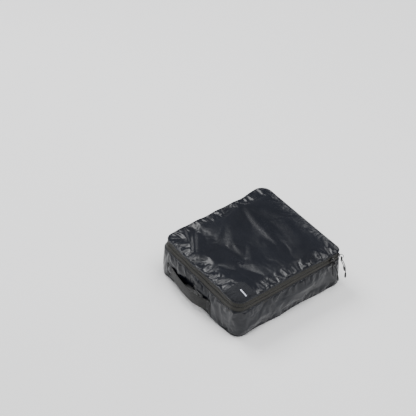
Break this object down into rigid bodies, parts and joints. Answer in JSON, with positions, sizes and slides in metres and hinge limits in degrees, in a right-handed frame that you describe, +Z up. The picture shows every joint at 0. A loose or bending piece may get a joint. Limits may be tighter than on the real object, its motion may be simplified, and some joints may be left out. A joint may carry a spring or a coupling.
{
  "type": "packing cube",
  "caption": "Soft rectangular packing cube in coated cloth with a hinged zip lid, a two-way zipper with corded pulls and a webbing side handle.",
  "frame": {"origin": "centre of the underside", "axes": "+X along the handle side, +Y along the slider side towards the lid's hinge, +Z up"},
  "size_m": [0.3389, 0.3677, 0.1136],
  "materials": {
    "shell_cloth": "glossy coated nylon",
    "zipper_tape": "ribbed woven tape",
    "webbing": "woven webbing",
    "binding": "folded woven binding",
    "coil": "nylon coil",
    "patch": "woven reinforcement",
    "label": "plain woven tab",
    "slider_metal": "gloss black enamel",
    "ring_metal": "dark nickel",
    "cord": "braided cord",
    "tip": "satin moulded"
  },
  "bodies": {
    "base": {"base_panel": "shell_cloth", "side_gusset": "shell_cloth", "back_wall": "shell_cloth", "base_binding": "binding", "back_seam_binding_left": "binding", "back_seam_binding_right": "binding", "zipper_tape_lower": "zipper_tape", "zipper_coil_lower": "coil", "zipper_stop_left": "coil", "zipper_stop_right": "coil", "zipper_tab_left": "zipper_tape", "zipper_tab_right": "zipper_tape", "handle_end_left": "webbing", "handle_end_right": "webbing", "handle_leg_left": "webbing", "handle_leg_right": "webbing"},
    "handle": {"handle_grip": "webbing"},
    "lid": {"top_panel": "shell_cloth", "zipper_tape_upper": "zipper_tape", "zipper_coil_upper": "coil", "lid_binding": "binding", "hinge_binding": "binding", "corner_patch": "patch", "corner_label": "label"},
    "slider_a": {"slider_body_a": "slider_metal"},
    "ring_a": {"ring_a": "ring_metal"},
    "pull_a": {"pull_cord_a": "cord", "collar_a": "tip", "tip_short_a": "tip", "tip_long_a": "tip"},
    "slider_b": {"slider_body_b": "slider_metal"},
    "ring_b": {"ring_b": "ring_metal"},
    "pull_b": {"pull_cord_b": "cord", "collar_b": "tip", "tip_short_b": "tip", "tip_long_b": "tip"}
  },
  "joints": [
    {"name": "lid_hinge", "type": "hinge", "parent": "base", "child": "lid", "pos_m": [0, 0.1725, 0.112], "axis": [-1, 0, 0], "range_deg": [0, 180]},
    {"name": "handle_press", "type": "slide", "parent": "base", "child": "handle", "axis": [0, 1, 0], "range_m": [0, 0.012]},
    {"name": "slider_a_slide", "type": "slide", "parent": "base", "child": "slider_a", "axis": [0, -1, 0], "range_m": [0, 0.25]},
    {"name": "slider_b_turn", "type": "hinge", "parent": "base", "child": "slider_b", "pos_m": [0.14, 0.1525, 0.099], "axis": [0, 0, 1], "range_deg": [-25, 50]},
    {"name": "ring_a_swing", "type": "hinge", "parent": "slider_a", "child": "ring_a", "pos_m": [0.1622, 0.137, 0.099], "axis": [0, 0, 1], "range_deg": [-25, 5]},
    {"name": "ring_b_swing", "type": "hinge", "parent": "slider_b", "child": "ring_b", "pos_m": [0.15923, 0.1636, 0.099], "axis": [0, 0, 1], "range_deg": [-5, 25]},
    {"name": "pull_a_swing", "type": "hinge", "parent": "ring_a", "child": "pull_a", "pos_m": [0.1676, 0.137, 0.0936], "axis": [1, 0, 0], "range_deg": [-20, 3]},
    {"name": "pull_b_swing", "type": "hinge", "parent": "ring_b", "child": "pull_b", "pos_m": [0.1639, 0.1663, 0.0936], "axis": [0.866, 0.5, 0], "range_deg": [-3, 20]}
  ]
}
